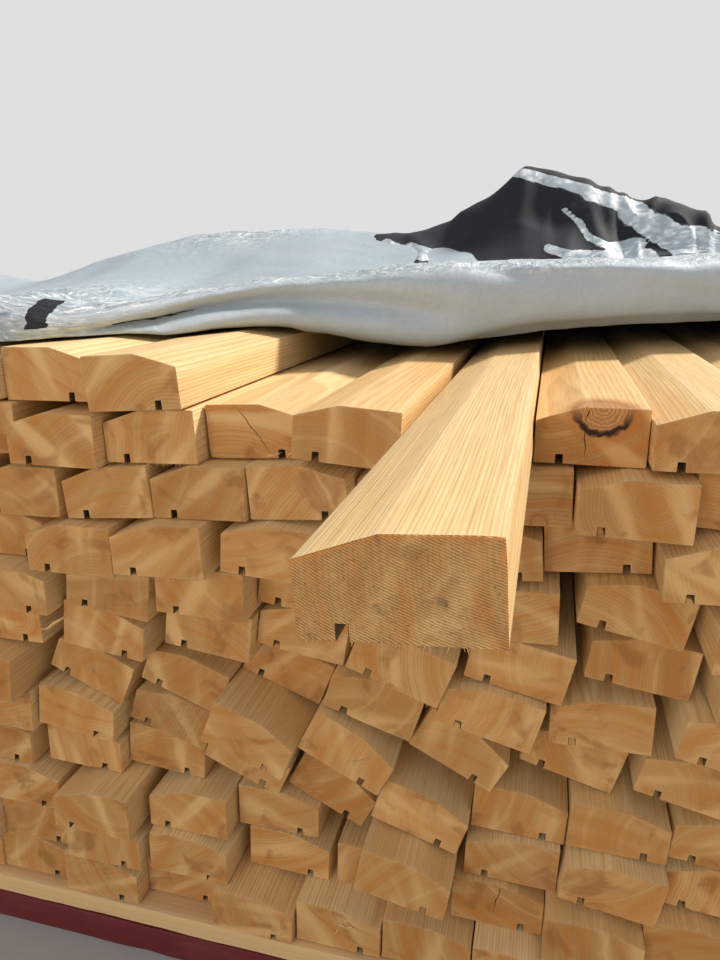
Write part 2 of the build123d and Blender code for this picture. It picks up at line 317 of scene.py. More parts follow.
def bearer_wood():
    """Pale plain timber, a little soiled."""
    s = Shader("bearer_wood")
    log = s.attribute("grain")
    late, bands = ring_pattern(s, log, 0.004)
    fuzz = s.noise(s.stretch(log, (1.0, 1.0, 0.08)), 420.0, 4.0)
    colour = s.mix(s.times(late, 0.18), "d9b685", "c09257")
    colour = s.over(colour, bands, 0.45, 0.7, 0.3, "cd9d62")
    grime = s.noise(s.stretch(log, (1.0, 1.0, 0.4)), 14.0, 4.0)
    colour = s.over(colour, grime, 0.5, 0.75, 0.35, "ab875c")
    return s.finish(colour, s.bump(fuzz, 0.0005, 0.6), 0.8, Specular_IOR_Level=0.3)


def red_paint():
    """Old dark red paint, rubbed through to the grey wood in small chips, most along its edges."""
    s = Shader("red_paint")
    log = s.attribute("grain")
    wear = s.attribute("wear", "Fac")
    blotch = s.noise(log, 16.0, 4.0)
    chips = s.noise(log, 190.0, 5.0, 0.65)
    dust = s.noise(s.stretch(log, (1.0, 1.0, 0.3)), 55.0, 4.0)
    colour = s.mix(blotch, "5a1014", "70191c")
    colour = s.over(colour, dust, 0.5, 0.8, 0.22, "85584c")
    bare = s.plus(chips, s.times(wear, 0.09))
    bare_share = s.step(bare, 0.76, 0.79)
    colour = s.mix(bare_share, colour, "8a7460")
    height = s.minus(s.times(blotch, 0.3), s.times(bare_share, 0.7))
    rough = s.node("MapRange", bare_share, 0.0, 1.0, 0.5, 0.85)
    return s.finish(colour, s.bump(height, 0.0006, 0.8), rough)


def weave(s):
    """Flat tapes crossing over and under, as a height, on the sheet's own UV map in metres."""
    x, y, _ = s.parts(s.node("UVMap", uv_map="sheet"))
    waves = [s.math("SINE", s.times(way, turn / tape_pitch)) for way in (x, y)]
    return s.times(s.math("ADD", *[s.math("ABSOLUTE", wave) for wave in waves]), 0.5)


def wrap_cloth():
    """White coated woven cloth, with painted highlights and painted shade on its crinkles, black where
    the lining value passes a half; that value also lays a thin line of painted shade in a fold.
    """
    s = Shader("wrap_cloth")
    sheet = s.node("UVMap", uv_map="sheet")
    rumpled_and_highlit = s.attribute("rumpled_and_highlit", "Fac")
    tapes = weave(s)
    folds = s.noise(sheet, 60.0, 5.0, 0.62, 0.4)
    crinkle = s.noise(s.stretch(sheet, (0.55, 1.0, 1.0)), 170.0, 5.0, 0.66, 1.4)
    grime = s.noise(sheet, 9.0, 5.0, 0.6)
    ragged = s.times(s.minus(s.noise(sheet, 85.0, 5.0, 0.6), 0.5), 1.5)
    # Black lining, and a thin black line of painted shade in a fold of the roll
    lining_and_fold_shade = s.step(s.plus(s.attribute("lining_and_fold_shade", "Fac"), ragged), 0.485, 0.515)
    white = s.mix(s.step(tapes, 0.2, 0.8, 0.0, 0.2), "acb9c2", "9eacb6")
    white = s.over(white, grime, 0.45, 0.75, 0.35, "a3a9a9")
    # Painted highlights on the crinkles where the sheet is crumpled, and painted shade between them
    painted_crinkle_highlight = s.times(rumpled_and_highlit, s.step(crinkle, 0.46, 0.66))
    white = s.mix(painted_crinkle_highlight, white, "f4f8fb")
    painted_crinkle_shade = s.times(rumpled_and_highlit, s.step(crinkle, 0.46, 0.32, 0.0, 0.6))
    white = s.mix(painted_crinkle_shade, white, "8796a2")
    black = s.mix(s.step(folds, 0.55, 0.75, 0.0, 0.6), *lining_colours)
    colour = s.mix(lining_and_fold_shade, white, black)
    crease = s.math("ABSOLUTE", s.minus(folds, 0.5))
    soft = s.bump(s.times(crease, -1.0), 0.004, 0.3, s.bump(tapes, 0.0003, 0.35))
    creased = s.bump(crinkle, 0.005, s.times(rumpled_and_highlit, 0.8), soft)
    rough = s.node("MapRange", lining_and_fold_shade, 0.0, 1.0, 0.5, 0.8)
    return s.finish(colour, creased, rough, Specular_IOR_Level=0.4)


def wrap_lining():
    """The wrap's black side."""
    s = Shader("wrap_lining")
    sheet = s.node("UVMap", uv_map="sheet")
    tapes = weave(s)
    folds = s.noise(sheet, 50.0, 5.0, 0.6)
    colour = s.mix(s.step(folds, 0.5, 0.8, 0.0, 0.6), *lining_colours)
    return s.finish(colour, s.bump(folds, 0.004, 0.5, s.bump(tapes, 0.0003, 0.4)), 0.5)


class Board:
    """One board of a CAD node: where its section sits and how far it runs."""

    def __init__(self, island, rim):
        self.front = min(v.co.y for v in island)
        self.back = max(v.co.y for v in island)
        loop = np.array(rim)
        sides = np.linalg.norm(np.roll(loop, -1, 0) - loop, axis=1)
        loop = np.roll(loop, 4 - int(np.argmin(sides)), axis=0)
        # The groove's top edge now runs from point 4 to 5, and 2 and 7 are the bottom corners
        if np.linalg.norm(loop[3] - loop[2]) < np.linalg.norm(loop[7] - loop[6]):
            loop = np.roll(loop[::-1], 1, axis=0)
        self.origin = (loop[2] + loop[7]) / 2
        self.across = (loop[7] - loop[2]) / np.linalg.norm(loop[7] - loop[2])
        self.upward = (loop[4] - loop[3]) / np.linalg.norm(loop[4] - loop[3])
        self.loop = loop
        offset = loop - self.origin
        self.section = np.stack([offset @ self.across, offset @ self.upward], axis=1)
        self.mirrored = self.across[0] * self.upward[1] - self.across[1] * self.upward[0] < 0

    def place(self, local, y):
        """Local (across, upward) points at stations y, in the frame."""
        flat = self.origin + local[:, :1] * self.across + local[:, 1:] * self.upward
        return np.column_stack([flat[:, 0], y, flat[:, 1]])


def find_boards(node):
    """The boards of a CAD node, from left to right."""
    shell = bmesh.new()
    shell.from_mesh(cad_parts[node].data)
    bmesh.ops.remove_doubles(shell, verts=shell.verts, dist=weld)
    found, seen = [], set()
    for start in shell.verts:
        if start in seen:
            continue
        seen.add(start)
        island = [start]
        for vert in island:
            for edge in vert.link_edges:
                other = edge.other_vert(vert)
                if other not in seen:
                    seen.add(other)
                    island.append(other)
        front = min(v.co.y for v in island)
        ends = [v for v in island if v.co.y < front + 0.1 * mm]
        beside = {v: [] for v in ends}
        for edge in {e for v in ends for e in v.link_edges}:
            a, b = edge.verts
            caps = sum(abs(face.normal.y) > 0.9 for face in edge.link_faces)
            if a in beside and b in beside and caps == 1:
                beside[a].append(b)
                beside[b].append(a)
        rim, last = [ends[0]], None
        while len(rim) < len(ends):
            following = [v for v in beside[rim[-1]] if v is not last][0]
            last = rim[-1]
            rim.append(following)
        found.append(Board(island, [(v.co.x, v.co.z) for v in rim]))
    shell.free()
    return sorted(found, key=lambda board: board.origin[0])


def eased_outline(corners, radius):
    """The section's outline, corners eased and long sides divided, and a 1 for each point on an arris."""
    points, arris = [], []
    count = len(corners)
    for i, corner in enumerate(corners):
        before, after = corners[i - 1] - corner, corners[(i + 1) % count] - corner
        turning = before[0] * after[1] - before[1] * after[0]
        reach = min(radius, 0.4 * np.linalg.norm(before), 0.4 * np.linalg.norm(after))
        start = corner + before / np.linalg.norm(before) * reach
        stop = corner + after / np.linalg.norm(after) * reach
        if turning > 0:
            points.append(corner)
            arris.append(0.0)
        else:
            for t in np.linspace(0, 1, eased_steps):
                points.append((1 - t) ** 2 * start + 2 * t * (1 - t) * corner + t * t * stop)
                arris.append(1.0)
        following = corners[(i + 1) % count] - points[-1]
        pieces = int(np.linalg.norm(following) // outline_spacing)
        for k in range(1, pieces):
            points.append(points[-1] + following / pieces)
            arris.append(0.0)
    return np.array(points), np.array(arris)


def runs_anticlockwise(points):
    following = np.roll(points, -1, 0)
    return np.sum(points[:, 0] * following[:, 1] - following[:, 0] * points[:, 1]) > 0


def outward(points):
    """Unit normals of an outline, pointing out of it."""
    ahead = np.roll(points, -1, 0) - np.roll(points, 1, 0)
    normal = np.stack([ahead[:, 1], -ahead[:, 0]], axis=1)
    normal /= np.linalg.norm(normal, axis=1)[:, None]
    return normal if runs_anticlockwise(points) else -normal


def tube_faces(rings, count):
    """Faces from each ring of count points to the next."""
    return [(i + j, i + (j + 1) % count, i + count + (j + 1) % count, i + count + j)
            for i in range(0, (rings - 1) * count, count) for j in range(count)]


def distance_to(points, path):
    """Distance from each point to an open path of points."""
    nearest = np.full(len(points), 1e9)
    for a, b in zip(path[:-1], path[1:]):
        share = np.clip(((points - a) @ (b - a)) / max((b - a) @ (b - a), 1e-12), 0, 1)
        nearest = np.minimum(nearest, np.linalg.norm(points - a - share[:, None] * (b - a), axis=1))
    return nearest


def inside(points, outline):
    """Which points lie inside a closed outline."""
    odd = np.zeros(len(points), bool)
    for a, b in zip(outline, np.roll(outline, -1, 0)):
        crosses = (a[1] > points[:, 1]) != (b[1] > points[:, 1])
        with np.errstate(divide="ignore", invalid="ignore"):
            at = a[0] + (points[:, 1] - a[1]) * (b[0] - a[0]) / (b[1] - a[1])
        odd ^= crosses & (points[:, 0] < at)
    return odd


def end_pattern(outline, spacing, cracks, rng):
    """Triangles over a sawn end: points, faces, how deep in a crack, and which points are the outline."""
    axes = [np.arange(a, b, spacing) for a, b in zip(outline.min(0), outline.max(0))]
    grid = np.stack(np.meshgrid(*axes), -1).reshape(-1, 2)
    grid = grid + rng.uniform(-0.3, 0.3, grid.shape) * spacing
    closed = np.vstack([outline, outline[:1]])
    grid = grid[inside(grid, outline) & (distance_to(grid, closed) > 0.35 * spacing)]
    points = [*outline]
    edges = [(i, (i + 1) % len(outline)) for i in range(len(outline))]
    deep = [0.0] * len(outline)
    for crack in cracks:
        path, width, depth = crack_path(crack, rng)
        grid = grid[distance_to(grid, path) > 0.35 * spacing]
        along = np.gradient(path, axis=0)
        side = np.stack([-along[:, 1], along[:, 0]], axis=1)
        side /= np.linalg.norm(side, axis=1)[:, None]
        for offset, level in ((-0.5, 0.0), (0.0, 1.0), (0.5, 0.0)):
            first = len(points)
            points.extend(path + side * width[:, None] * offset)
            deep.extend(depth * level * width / width.max())
            edges.extend((first + i, first + i + 1) for i in range(len(path) - 1))
    deep.extend([0.0] * len(grid))
    points.extend(grid)
    flat = [Vector(p) for p in points]
    made = delaunay_2d_cdt(flat, edges, [list(range(len(outline)))], 1, 1e-7)
    old = [sources[0] if sources else None for sources in made[3]]
    depths = np.array([deep[i] if i is not None else 0.0 for i in old])
    order = {source: i for i, source in enumerate(old) if source is not None}
    return np.array([list(p) for p in made[0]]), made[2], depths, [order[i] for i in range(len(outline))]


def crack_path(crack, rng):
    """A crack's wandering line, its width at each point and its depth."""
    start, stop = np.array(crack["start"]) * mm, np.array(crack["stop"]) * mm
    share = np.linspace(0, 1, 9)
    path = start + (stop - start) * share[:, None]
    side = np.array([-(stop - start)[1], (stop - start)[0]])
    path = path + side * rng.normal(0, 0.025, len(share))[:, None] * np.sin(math.pi * share)[:, None]
    width = crack["width"] * mm * (0.15 + np.sin(math.pi * np.clip(share * 1.05, 0, 1)) ** 0.7)
    return path, width, crack["depth"] * mm


class Pieces:
    """Collects points, faces and surface attributes, and turns them into one mesh."""

    def __init__(self):
        self.points, self.faces = [], []
        self.data = {"grain": [], "local": [], "tone": [], "knot": [], "wear": []}
        self.count = 0

    def add(self, points, faces, flip=False, **data):
        ordered = [tuple(reversed(face)) for face in faces] if flip else faces
        self.faces.extend(tuple(self.count + i for i in face) for face in ordered)
        self.points.append(points)
        for key, store in self.data.items():
            value = np.asarray(data[key], float)
            width = () if key == "wear" else (3,)
            store.append(np.broadcast_to(value, (len(points),) + width))
        self.count += len(points)

    def build(self, name, material, smooth_angle=38):
        mesh = bpy.data.meshes.new(name)
        mesh.from_pydata(np.vstack(self.points).tolist(), [], self.faces)
        for key, store in self.data.items():
            flat = np.concatenate(store)
            kind, part = ("FLOAT", "value") if key == "wear" else ("FLOAT_VECTOR", "vector")
            layer = mesh.attributes.new(key, kind, "POINT")
            layer.data.foreach_set(part, flat.astype(np.float32).ravel())
        mesh.materials.append(material)
        mesh.shade_smooth()
        mesh.set_sharp_from_angle(angle=math.radians(smooth_angle))
        return add_object(name, mesh)


# What single boards show at their front end, by node and by place from the left (sizes in millimetres).
# Knots: the middle, across and upward, and the size
knots = {
    ("row_11_boards", 9): (-6, 38, 17.5),
    ("row_10_boards", 10): (-14, 3, 5),
    ("row_06_boards", 3): (20, 24, 6),
    ("row_03_boards", 12): (-8, 30, 7),
    ("row_08_boards", 14): (12, 12, 8),
}
no_knot = (9000, 0, 0)
# Cracks: from and to, across and upward, with width and depth
cracks = {
    ("row_11_boards", 7): [dict(start=(-12, 37), stop=(12, 1), width=0.9, depth=9)],
    ("row_11_boards", 9): [dict(start=(4, 24), stop=(3, 6), width=0.6, depth=7),
                           dict(start=(2, 37), stop=(4, 30), width=0.7, depth=5)],
    ("row_02_boards", 9): [dict(start=(2, 37), stop=(-3, 12), width=1.1, depth=10)],
    ("row_10_boards", 2): [dict(start=(-30, 9), stop=(-8, 14), width=0.7, depth=6)],
    ("row_05_boards", 8): [dict(start=(20, 30), stop=(2, 12), width=0.8, depth=8)],
    ("row_07_boards", 11): [dict(start=(-20, 35), stop=(-12, 14), width=0.8, depth=8)],
}
# How strongly the saw's lines show
saw_marked = {
    ("drawn_out_board", 0): 1.0,
    ("row_05_boards", 6): 0.9,
    ("row_03_boards", 9): 0.6,
    ("row_08_boards", 5): 0.5,
    ("row_10_boards", 7): 0.5,
}
# Splinters lying on the ends: from and to (across and up, in the frame) and width
slivers = {
    ("row_07_boards", 5): [((-254, 299), (-228, 315), 2.4)],
    ("row_11_boards", 7): [((-64, 453), (-50, 458), 1.6), ((-46, 455), (-39, 461), 1.3),
                           ((-60, 457), (-54, 453), 1.2)],
    ("row_01_boards", 8): [((-5, 74), (10, 74), 2.6), ((-8, 62), (0, 79), 1.2), ((2, 78), (12, 71), 1.4)],
}
# Runs of torn fibres along the lower front edge: from and to, across the board
torn_runs = {
    ("row_11_boards", 6): [(-34, 34)],
    ("drawn_out_board", 0): [(-34, 10), (12, 33)],
    ("row_11_boards", 7): [(-30, -6)],
}
row_nodes = sorted(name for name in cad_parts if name.endswith("_boards"))
board_nodes = row_nodes + ["drawn_out_board"]
boards = {node: find_boards(node) for node in board_nodes}


def board_stations(length):
    """Stations along a board from its front end, close together near both ends."""
    middle = np.linspace(end_stations[-1], length - end_stations[-1], long_spans + 1)[1:-1]
    return np.array([*end_stations, *middle, *[length - s for s in reversed(end_stations)]])


def sliver(start, stop, width, y, rng):
    """A flat pointed splinter lying at y against an end: points and faces."""
    start, stop = np.array(start) * mm, np.array(stop) * mm
    length = np.linalg.norm(stop - start)
    side = np.array([(stop - start)[1], -(stop - start)[0]]) / length
    spine = start + (stop - start) * np.array([0, 0.2, 0.5, 0.8, 1.0])[:, None]
    half = width * mm / 2 * np.array([0.3, 0.9, 1.0, 0.6, 0.06]) * rng.uniform(0.75, 1.25, 5)
    bend = rng.normal(0, 0.03, 5) * length
    rings = []
    for offset, lift in ((-1, 0), (0, -1), (1, 0), (0, 1)):
        flat = spine + side * (half * offset + bend)[:, None]
        rings.append(np.column_stack([flat[:, 0], y + half * 0.6 * lift, flat[:, 1]]))
    caps = [(3, 2, 1, 0), (16, 17, 18, 19)]
    return np.stack(rings, axis=1).reshape(-1, 3), tube_faces(5, 4) + caps


def fibre_tree():
    """A node tree that stands short tapering fibres along lines, with their sizes as named inputs."""
    tree = bpy.data.node_groups.new("torn_fibres", "GeometryNodeTree")
    for name, kind in (("Lines", "Geometry"), ("Spacing", "Float"), ("Fibre length", "Float"),
                       ("Fibre width", "Float"), ("Spread", "Float"), ("Seed", "Int"),
                       ("Finish", "Material")):
        tree.interface.new_socket(name, in_out="INPUT", socket_type="NodeSocket" + kind)
    tree.interface.new_socket("Fibres", in_out="OUTPUT", socket_type="NodeSocketGeometry")
    nodes, links = tree.nodes, tree.links
    given = nodes.new("NodeGroupInput").outputs

    def step(kind, values, **settings):
        """The first output of a new node, with its inputs filled by name or by number."""
        made = nodes.new(kind)
        for key, value in settings.items():
            setattr(made, key, value)
        for key, value in values.items():
            named = [s for s in made.inputs if s.name == key and s.enabled]
            socket = named[0] if named else made.inputs[key]
            if isinstance(value, bpy.types.NodeSocket):
                links.new(value, socket)
            else:
                socket.default_value = value
        return [s for s in made.outputs if s.enabled][0]

    lines = step("GeometryNodeMeshToCurve", {"Mesh": given["Lines"]})
    spots = step("GeometryNodeResampleCurve", {"Curve": lines, "Length": given["Spacing"]}, mode="LENGTH")
    fibre = step("GeometryNodeMeshCone", {
        "Vertices": 4, "Radius Top": 0.0, "Radius Bottom": given["Fibre width"],
        "Depth": given["Fibre length"]})
    for name, kind, value in (("wear", "FLOAT", 0.85), ("tone", "FLOAT_VECTOR", (0.6, 0.5, 0.0))):
        fibre = step("GeometryNodeStoreNamedAttribute", {"Geometry": fibre, "Name": name, "Value": value},
                     data_type=kind, domain="POINT")
    # Hanging down, give or take the spread, and turned any way
    low, high = [step("ShaderNodeMath", {0: math.pi, 1: given["Spread"]}, operation=way)
                 for way in ("SUBTRACT", "ADD")]
    least = step("ShaderNodeCombineXYZ", {"X": low, "Y": -0.5, "Z": 0.0})
    most = step("ShaderNodeCombineXYZ", {"X": high, "Y": 0.5, "Z": 6.0})
    lean = step("FunctionNodeRandomValue", {"Min": least, "Max": most, "Seed": given["Seed"]},
                data_type="FLOAT_VECTOR")
    share = step("FunctionNodeRandomValue", {"Min": 0.3, "Max": 1.0, "Seed": given["Seed"]},
                 data_type="FLOAT")
    size = step("ShaderNodeMath", {0: share, 1: 1.8}, operation="POWER")
    placed = step("GeometryNodeInstanceOnPoints", {"Points": spots, "Instance": fibre, "Rotation": lean,
                                                  "Scale": size})
    real = step("GeometryNodeRealizeInstances", {"Geometry": placed})
    done = step("GeometryNodeSetMaterial", {"Geometry": real, "Material": given["Finish"]})
    links.new(done, nodes.new("NodeGroupOutput").inputs["Fibres"])
    return tree


def stand_fibres(piece, runs, tree, finish, seed):
    """Torn fibres along the runs, joined into a piece's mesh."""
    lines = bpy.data.meshes.new("torn_edges")
    edges = [(2 * i, 2 * i + 1) for i in range(len(runs))]
    lines.from_pydata([tuple(p) for run in runs for p in run], edges, [])
    holder = add_object("torn_edges", lines)
    grown = holder.modifiers.new("fibres", "NODES")
    grown.node_group = tree
    names = {item.name: item.identifier for item in tree.interface.items_tree if item.in_out == "INPUT"}
    for name, value in (("Spacing", 1.1 * mm), ("Fibre length", 3.4 * mm), ("Fibre width", 0.32 * mm),
                        ("Spread", 0.35), ("Seed", seed), ("Finish", finish)):
        grown[names[name]] = value
    shape = bpy.data.meshes.new_from_object(holder.evaluated_get(bpy.context.evaluated_depsgraph_get()))
    bpy.data.objects.remove(holder)
    joined = bmesh.new()
    joined.from_mesh(piece.data)
    joined.from_mesh(shape)
    joined.to_mesh(piece.data)
    joined.free()


def worn_outlines(outline, arris, front, stations, number):
    """A board's outline at each station, uneven and chipped, with the place along it."""
    normals = outward(outline)
    worn = []
    for i, station in enumerate(stations):
        y = np.full(len(outline), front + station)
        probe = np.column_stack([outline, y])
        at_end = i in (0, len(stations) - 1)
        near_end = math.exp(-min(station, stations[-1] - station) / (30 * mm))
        inward = surface_wobble * (0.5 + 0.5 * soft_noise(probe * (1, 1, 0.15), 21 * mm, number))
        chips = np.clip(soft_noise(probe * (1, 1, 0.6), 6 * mm, number + 0.5) - 0.25, 0, 1)
        inward = inward + arris * chips * chip_depth * (0.25 + near_end) + (cut_inset if at_end else 0.0)
        worn.append((outline - normals * inward[:, None], y))
    return worn


def add_board(pieces, board, key, number):
    """Adds a board with its sides, its sawn ends and its splinters; returns its runs of torn fibres."""
    rng = np.random.default_rng(board_seed + number)
    outline, arris = eased_outline(board.section, eased_radius)
    stations = board_stations(board.back - board.front)
    pith_way = rng.uniform(0, turn)
    pith_far = rng.choice([14, 50, 85, 130], p=[0.04, 0.2, 0.38, 0.38]) * mm
    pith = np.array([math.cos(pith_way), math.sin(pith_way)]) * pith_far + outline.mean(0)
    log_start = rng.uniform(0, 40)
    tone = (rng.uniform(0.1, 1), rng.beta(1.6, 2.2), saw_marked.get(key, rng.choice([0.0, 0.12, 0.3])))
    knot = np.array(knots.get(key, no_knot)) * mm

    def attributes(local, y):
        depth = np.minimum(y - board.front, board.back - y)
        depth = np.where(y < (board.front + board.back) / 2, depth, depth + 1)
        return dict(grain=np.column_stack([local - pith, y + log_start]),
                    local=np.column_stack([local, depth]), tone=tone, knot=knot)

    sides = worn_outlines(outline, arris, board.front, stations, number)
    points = np.vstack([board.place(local, y) for local, y in sides])
    flat, ys = np.vstack([local for local, y in sides]), np.concatenate([y for local, y in sides])
    flip = runs_anticlockwise(outline) == board.mirrored
    end_wear = np.exp(-np.minimum(ys - board.front, board.back - ys) / (1.2 * mm)) * 0.8
    slot_low, slot_high = board.section[3:7].min(0), board.section[3:7].max(0)
    in_slot = np.all((outline > slot_low - 0.3 * mm) & (outline < slot_high + 0.3 * mm), axis=1)
    wear = np.clip(np.tile(arris, len(stations)) * 0.18 + end_wear * 0.5, 0, 1)
    # Points in the groove get -1, which paints shade there
    wear = np.where(np.tile(in_slot, len(stations)), -1.0, wear)
    tube = tube_faces(len(stations), len(outline))
    pieces.add(points, tube, flip, wear=wear, **attributes(flat, ys))

    drawn_out = key == ("drawn_out_board", 0)
    spacing = fine_end_grid if drawn_out else end_grid
    for front_end in (True, False):
        rim = sides[0 if front_end else -1][0]
        found = cracks.get(key, []) if front_end else []
        mesh_size = spacing if front_end else end_grid * 2
        local, triangles, deep, order = end_pattern(rim, mesh_size, found, rng)
        sunk = end_wobble * (1 + soft_noise(np.column_stack([local, local[:, 0] * 0]), 13 * mm, number))
        sunk[order] = 0
        inwards = 1 if front_end else -1
        start = board.front if front_end else board.back
        y = start + inwards * (sunk + deep)
        rim_wear_and_glow = np.exp(-distance_to(local, np.vstack([rim, rim[:1]])) / (0.7 * mm)) * 0.9
        # On the drawn-out end only the top rim keeps it, for a painted orange sunlit glow; other ends get
        # a little wear all round
        rim_wear_and_glow = rim_wear_and_glow * (local[:, 1] > 24 * mm if drawn_out else 0.15)
        # The triangles run anticlockwise in local (across, upward)
        turned = board.mirrored == front_end
        pieces.add(board.place(local, y), triangles, turned, wear=rim_wear_and_glow, **attributes(local, y))
    for start, stop, width in slivers.get(key, []):
        points, faces = sliver(start, stop, width, board.front - 0.5 * mm, rng)
        pieces.add(points, faces, wear=0.95, grain=points, local=points, tone=(0.8, 0.4, 0.0),
                   knot=(0, 0, 0))
    runs = torn_runs.get(key, [])
    if not runs and rng.random() < 0.3:
        begin = rng.uniform(outline[:, 0].min() / mm + 2, outline[:, 0].max() / mm - 22)
        runs = [(begin, begin + rng.uniform(6, 20))]
    return [board.place(np.array([(run[0], 0.5), (run[1], 0.5)]) * mm, np.full(2, board.front + 0.5 * mm))
            for run in runs]


numbers = itertools.count()
board_finish = board_wood()
fibres = fibre_tree()
for seed, node in enumerate(board_nodes):
    pieces, runs = Pieces(), []
    for place, board in enumerate(boards[node]):
        runs.extend(add_board(pieces, board, (node, place), next(numbers)))
    name = node.replace("boards", "timber").replace("out_board", "out_timber")
    piece = pieces.build(name, board_finish)
    if runs:
        stand_fibres(piece, runs, fibres, board_finish, seed)
    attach(piece, body)
    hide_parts(node)


def bearer_pieces(node, name, finish, wobble):
    """Crosswise timbers: the solids' boxes with worn edges and uneven faces."""
    shell = bmesh.new()
    shell.from_mesh(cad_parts[node].data)
    bmesh.ops.remove_doubles(shell, verts=shell.verts, dist=weld)
    centres = sorted({round(v.co.y, 4) for v in shell.verts})
    low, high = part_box(node)
    shell.free()
    pieces = Pieces()
    for number, (start, stop) in enumerate(zip(centres[::2], centres[1::2])):
        rng = np.random.default_rng(bearer_seed + number)
        corners = np.array([(start, low.z), (stop, low.z), (stop, high.z), (start, high.z)])
        outline, arris = eased_outline(corners, bearer_radius)
        normals = outward(outline)
        length = high.x - low.x
        middle = np.linspace(8 * mm, length - 8 * mm, 60)
        stations = low.x + np.array([0, 1.5 * mm, *middle, length - 1.5 * mm, length])
        count = len(outline)
        rows, xs = [], []
        for i, x in enumerate(stations):
            probe = np.column_stack([outline, np.full(count, x)])
            inward = wobble * (0.5 + 0.5 * soft_noise(probe, 26 * mm, number + 40))
            chips = np.clip(soft_noise(probe, 13 * mm, number + 60) - 0.2, 0, 1)
            at_end = i in (0, len(stations) - 1)
            inward = inward + arris * chips * bearer_chip_depth + (bearer_inset if at_end else 0)
            # The underside stays flat on what it rests on
            inward = np.where(normals[:, 1] < -0.9, 0.0, inward)
            rows.append(outline - normals * inward[:, None])
            xs.append(np.full(count, x))
        flat, xs = np.vstack(rows), np.concatenate(xs)
        points = np.column_stack([xs, flat])
        faces = tube_faces(len(stations), count)
        caps = [tuple(range(count))[::-1], tuple((len(stations) - 1) * count + j for j in range(count))]
        centre = np.array([(start + stop) / 2 + rng.uniform(-60, 60) * mm,
                           high.z + rng.uniform(20, 90) * mm])
        pieces.add(points, faces + caps, wear=np.tile(arris, len(stations)),
                   grain=np.column_stack([flat - centre, xs + rng.uniform(0, 30)]),
                   local=(0, 0, 0), tone=(0, 0, 0), knot=(0, 0, 0))
    piece = pieces.build(name, finish)
    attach(piece, body)
    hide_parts(node)


bearer_pieces("bearer_planks", "rough_planks", bearer_wood(), 0.8 * mm)
bearer_pieces("bearer_rails", "painted_rails", red_paint(), 0.5 * mm)


def board_tops(stations):
    """The highest board surface over each station across the bundle."""
    top = np.zeros(len(stations))
    for board in [board for node in board_nodes[-4:] for board in boards[node]]:
        for a, b in zip(board.loop, np.roll(board.loop, -1, 0)):
            if abs(a[0] - b[0]) > 1e-6:
                height = a[1] + (b[1] - a[1]) * (stations - a[0]) / (b[0] - a[0])
                over = (stations >= min(a[0], b[0])) & (stations <= max(a[0], b[0]))
                top = np.where(over, np.maximum(top, height), top)
    return top


def bell(value, centre, width):
    return np.exp(-((value - centre) / width) ** 2)


def eased_step(value, low, high):
    share = np.clip((value - low) / (high - low), 0, 1)
    return share * share * (3 - 2 * share)


def smooth_path(knots_at, counts):
    """Points along smooth curves through knots (columns, knots, 2), with so many points in each span."""
    hop = np.diff(knots_at, axis=1)
    length = np.maximum(np.linalg.norm(hop, axis=2, keepdims=True), 1e-6)
    slope = hop / length
    before, after = length[:, :-1], length[:, 1:]
    inner = (slope[:, :-1] * after + slope[:, 1:] * before) / (before + after)
    slopes = np.concatenate([slope[:, :1], inner, slope[:, -1:]], axis=1)
    spans = []
    for i, count in enumerate(counts):
        t = (np.arange(count) / count)[None, :, None]
        reach = length[:, i:i + 1]
        spans.append((2 * t ** 3 - 3 * t ** 2 + 1) * knots_at[:, i:i + 1]
                     + (t ** 3 - 2 * t ** 2 + t) * reach * slopes[:, i:i + 1]
                     + (3 * t ** 2 - 2 * t ** 3) * knots_at[:, i + 1:i + 2]
                     + (t ** 3 - t ** 2) * reach * slopes[:, i + 1:i + 2])
    return np.concatenate([*spans, knots_at[:, -1:]], axis=1)


def creases(grid, stretch, size, seed):
    """Sharp folds and soft hollows about size apart, up to 1, over a grid stretched along its axes."""
    points = grid.reshape(-1, 3) * stretch
    bend = np.column_stack([soft_noise(points, size * 1.7, seed + k) for k in (3.1, 5.3, 7.7)])
    return (1 - 2.4 * np.abs(soft_noise(points + bend * size * 0.5, size, seed))).reshape(grid.shape[:2])


def grid_faces(columns, rows):
    return [(i * rows + j, (i + 1) * rows + j, (i + 1) * rows + j + 1, i * rows + j + 1)
            for i in range(columns - 1) for j in range(rows - 1)]


def pushed_out(grid, amount):
    """A grid of points (columns, rows, 3) moved along its own normals."""
    across, along = np.gradient(grid, axis=0), np.gradient(grid, axis=1)
    normal = np.cross(across, along)
    normal /= np.maximum(np.linalg.norm(normal, axis=2, keepdims=True), 1e-9)
    return grid + normal * amount[..., None]


def sheet_uv(grid):
    """Distances along the sheet, in metres, for each point of a grid."""
    across = np.linalg.norm(np.diff(grid, axis=0), axis=2).mean(axis=1)
    along = np.linalg.norm(np.diff(grid, axis=1), axis=2).mean(axis=0)
    u, v = np.concatenate([[0], np.cumsum(across)]), np.concatenate([[0], np.cumsum(along)])
    return np.stack(np.broadcast_arrays(u[:, None], v[None, :]), axis=-1)


